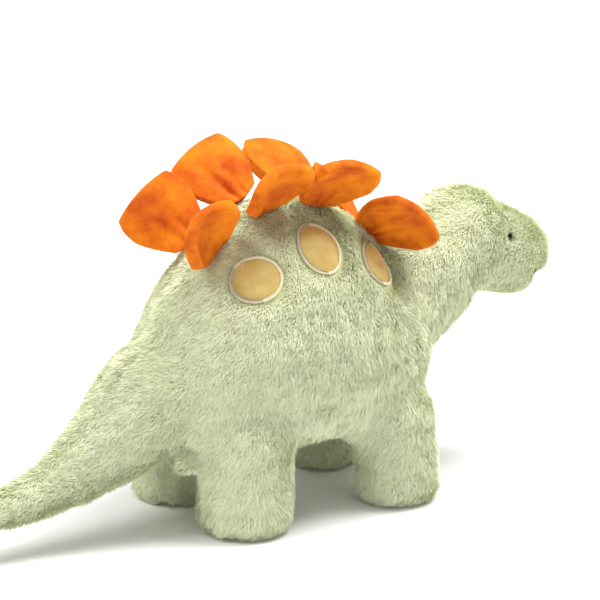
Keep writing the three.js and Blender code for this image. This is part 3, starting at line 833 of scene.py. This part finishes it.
UP = Vector((0, 0, 1))
AHEAD = Vector((1, 0, 0))
neck_way = (head_seat - neck_seat).normalized()
leg_plane = Vector((0, 0, hips["hind_left"].z + LEG_CUT))
tail_plane = rump - AHEAD * -TAIL_CUT
tail_end_plane = tail_bend - AHEAD * TAIL_END_CUT
neck_plane = neck_seat + neck_way * NECK_CUT
head_plane = head_seat + neck_way * HEAD_CUT

trunk_planes = [(leg_plane, UP), (tail_plane, AHEAD), (neck_plane, -neck_way)]
SKIN_PIECES = {
    "body": trunk_planes,
    "tail_root": [(tail_plane, -AHEAD), (tail_end_plane, AHEAD)],
    "tail_end": [(tail_end_plane, -AHEAD)],
    "neck": [(neck_plane, neck_way), (head_plane, -neck_way)],
    "head": [(head_plane, neck_way)],
}
for leg in LEGS:
    ahead = AHEAD if leg.startswith("front") else -AHEAD
    outwards = Vector((0, 1 if leg.endswith("left") else -1, 0))
    SKIN_PIECES[f"leg_{leg}"] = [(leg_plane, -UP), (stance, ahead), (stance, outwards), (tail_plane, AHEAD)]
BENDS = {
    "tail_root": ("body", tail_plane, tail_plane - AHEAD * TAIL_BEND),
    "tail_end": ("tail_root", tail_end_plane, tail_end_plane - AHEAD * TAIL_END_BEND),
    "neck": ("body", neck_plane, neck_plane + neck_way * NECK_BEND),
    "head": ("neck", head_plane, head_plane + neck_way * HEAD_BEND),
}
for leg in LEGS:
    BENDS[f"leg_{leg}"] = ("body", leg_plane, leg_plane - UP * LEG_BEND)


def go_with(piece, body):
    if body in BENDS:
        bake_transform(piece)
    else:
        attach(piece, body)


def pile_parts(body):
    """The planes that divide a body's pile into parts, by part name; only the trunk has four."""
    if body != "body":
        return {body: []}
    parts = {}
    for side, way in (("left", 1), ("right", -1)):
        for end, ahead in (("front", AHEAD), ("rear", -AHEAD)):
            parts[f"{side}_{end}"] = [(stance, Vector((0, way, 0))), (stance, ahead)]
    return parts


LEG_COMB = (-0.45, 0, -1)
COMBS = {
    "body": (-0.75, 0, -0.9),
    "tail_root": (-1, 0, -0.35),
    "tail_end": (-1, 0, 0.1),
    "neck": (-0.7, 0, -0.9),
    "head": (-1, 0, -0.35),
}
COVERS = {
    "body": ["body_cover_left", "body_cover_right", "back_strip", "belly_panel", "body_stuffing"],
    "tail_root": ["tail_root_cover", "tail_root_stuffing"],
    "tail_end": ["tail_end_cover", "tail_end_stuffing"],
    "neck": ["neck_cover", "neck_stuffing"],
    "head": ["head_cover", "head_stuffing", "eye_washer_left", "eye_washer_right"],
}
for leg in LEGS:
    COVERS[f"leg_{leg}"] = [f"leg_cover_{leg}", f"leg_stuffing_{leg}", f"sole_{leg}"]

blades = [
    blade("blade_a", 0.3, PILE_SHADES[0]),
    blade("blade_b", 0.5, PILE_SHADES[1]),
    blade("blade_c", 0.7, PILE_SHADES[2]),
]

EYE_SUNK = 2.0 * MM  # how deep each eye bead sits in the pile, below its place on the cloth
EYE_RADIUS = 2.7 * MM


def make_eye(side):
    """A small black bead drawn into the head; returns its middle, round which the caller clears the pile
    just wide enough to see it.
    """
    sign = 1 if side == "left" else -1
    low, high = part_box(f"eye_{side}")
    middle = (low + high) / 2 - Vector((0, sign * EYE_SUNK, 0))
    bm = bmesh.new()
    bmesh.ops.create_uvsphere(bm, u_segments=40, v_segments=24, radius=EYE_RADIUS)
    bmesh.ops.translate(bm, verts=bm.verts, vec=middle)
    bead = linked(f"eye_bead_{side}", mesh_of(bm, "eye"))
    smooth_shaded(bead)
    bead.data.materials.append(EYE_BLACK)
    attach(bead, "head")
    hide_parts(f"eye_{side}")
    return middle


STITCH_LIFT = 0.9 * MM  # how far a face stitch stands off the cloth it is sewn to


def make_face_stitch(name):
    """A face stitch drawn down on the fur skin along its whole run."""
    bm = bmesh.new()
    bm.from_mesh(nodes[name].data)
    for vertex in bm.verts:
        near, normal, _, _ = surface.find_nearest(vertex.co)
        height = (vertex.co - near).dot(normal)
        vertex.co = near + normal * min(max(height, -STITCH_LIFT), STITCH_LIFT)
    thread = linked(f"{name}_thread", mesh_of(bm, name))
    smooth_shaded(thread)
    thread.data.materials.append(DARK_THREAD)
    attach(thread, "head")
    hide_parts(name)
    return thread


bare_bm = bmesh.new()
for name in ("mouth_stitch", "nostril_left", "nostril_right"):
    thread = make_face_stitch(name)
    if name == "mouth_stitch":
        bare_bm.from_mesh(thread.data)
for side in ("left", "right"):
    clearing = bmesh.ops.create_icosphere(bare_bm, subdivisions=1, radius=0.6 * MM)
    bmesh.ops.translate(bare_bm, verts=clearing["verts"], vec=make_eye(side))
for name in nodes:
    if name.startswith("spot_"):
        bare_bm.from_mesh(nodes[name].data)
bare = linked("bare", mesh_of(bare_bm, "bare"))

for body, planes in SKIN_PIECES.items():
    piece = cut_from(skin, f"{body}_skin", planes)
    piece.data.materials.append(BACKING)
    comb = COMBS.get(body, LEG_COMB)
    length = HEAD_PILE if body == "head" else BODY_PILE
    for part, bounds in pile_parts(body).items():
        patch = cut_from(skin, f"{part}_patch", planes + bounds)
        pile = grow_pile(patch, f"{part}_pile", blades, bare, comb, length)
        go_with(pile, body)
        bpy.data.objects.remove(patch)
    go_with(piece, body)
    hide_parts(*COVERS[body])

for form in blades + [bare, skin]:
    bpy.data.objects.remove(form)

for label in PLATE_LIE:
    make_plate(label)
for side in ("left", "right"):
    for number in (1, 2, 3):
        make_spot(number, side, surface)
